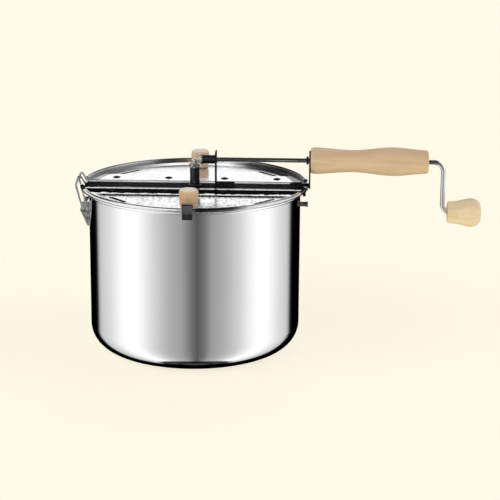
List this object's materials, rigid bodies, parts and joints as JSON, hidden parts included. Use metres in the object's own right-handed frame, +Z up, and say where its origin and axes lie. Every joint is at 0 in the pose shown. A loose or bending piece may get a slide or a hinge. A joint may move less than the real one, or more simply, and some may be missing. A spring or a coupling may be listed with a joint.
{
  "type": "stovetop popcorn popper",
  "caption": "Lidded steel pan with a side crank and long wooden handle; bevel gears turn a stirring wire over the pan's floor.",
  "frame": {"origin": "middle of the pan's base, on the plane it stands on", "axes": "+Z up along the pan's axis, +X along the crossbar to the handle and crank, -Y the front"},
  "size_m": [0.4268, 0.2442, 0.2168],
  "materials": {
    "polished_steel": "mirror polished stainless steel",
    "satin_steel": "fine satin stainless steel",
    "wire_steel": "bright drawn steel",
    "dark_steel": "dull dark steel",
    "handle_wood": "sanded pale beech with a thin satin lacquer",
    "knob_wood": "sanded pale beech with a thin satin lacquer",
    "nylon": "black nylon"
  },
  "bodies": {
    "base": {"pan": "polished_steel", "wall_stud": "dark_steel", "latch_ear": "satin_steel", "ear_rivets": "satin_steel", "crossbar": "satin_steel", "front_hinge_rod": "wire_steel", "rear_hinge_rod": "wire_steel", "gear_bracket": "satin_steel", "handle_plate": "satin_steel", "bracket_rivets": "satin_steel", "shaft_bush": "nylon", "handle_grip": "handle_wood", "handle_screws": "dark_steel"},
    "front_lid": {"front_lid_plate": "polished_steel", "front_hinge_leaves": "satin_steel", "front_leaf_rivets": "dark_steel", "front_lid_clip": "satin_steel", "front_lid_knob": "knob_wood", "front_knob_screw": "dark_steel"},
    "rear_lid": {"rear_lid_plate": "polished_steel", "rear_hinge_leaves": "satin_steel", "rear_leaf_rivets": "dark_steel", "rear_lid_clip": "satin_steel", "rear_lid_knob": "knob_wood", "rear_knob_screw": "dark_steel"},
    "crank": {"crank_rod": "wire_steel", "crank_gear": "dark_steel", "crank_gear_pin": "wire_steel", "rod_collar": "dark_steel", "knob_washer": "satin_steel"},
    "crank_knob": {"crank_knob": "knob_wood"},
    "stirrer": {"stir_shaft": "wire_steel", "stir_gear": "dark_steel", "stir_gear_pin": "wire_steel", "stir_collar": "satin_steel", "stir_wire": "wire_steel", "collar_screw": "dark_steel"},
    "latch": {"latch_bail": "wire_steel"}
  },
  "joints": [
    {"name": "front_lid_hinge", "type": "hinge", "parent": "base", "child": "front_lid", "pos_m": [0, -0.015, 0.1721], "axis": [-1, 0, 0], "range_deg": [0, 85]},
    {"name": "rear_lid_hinge", "type": "hinge", "parent": "base", "child": "rear_lid", "pos_m": [0, 0.015, 0.1721], "axis": [1, 0, 0], "range_deg": [0, 85]},
    {"name": "crank_turn", "type": "hinge", "parent": "base", "child": "crank", "pos_m": [0, 0, 0.2018], "axis": [1, 0, 0], "continuous": true},
    {"name": "stirrer_turn", "type": "hinge", "parent": "base", "child": "stirrer", "pos_m": [0, 0, 0], "axis": [0, 0, 1], "continuous": true},
    {"name": "crank_knob_turn", "type": "hinge", "parent": "crank", "child": "crank_knob", "pos_m": [0.2665, 0, 0.1481], "axis": [1, 0, 0], "continuous": true},
    {"name": "latch_swing", "type": "hinge", "parent": "base", "child": "latch", "pos_m": [-0.1173, 0, 0.1483], "axis": [0, -1, 0], "range_deg": [0, 165]}
  ],
  "couplings": [
    {"joint": "stirrer_turn", "follows": "crank_turn", "ratio": 1}
  ]
}
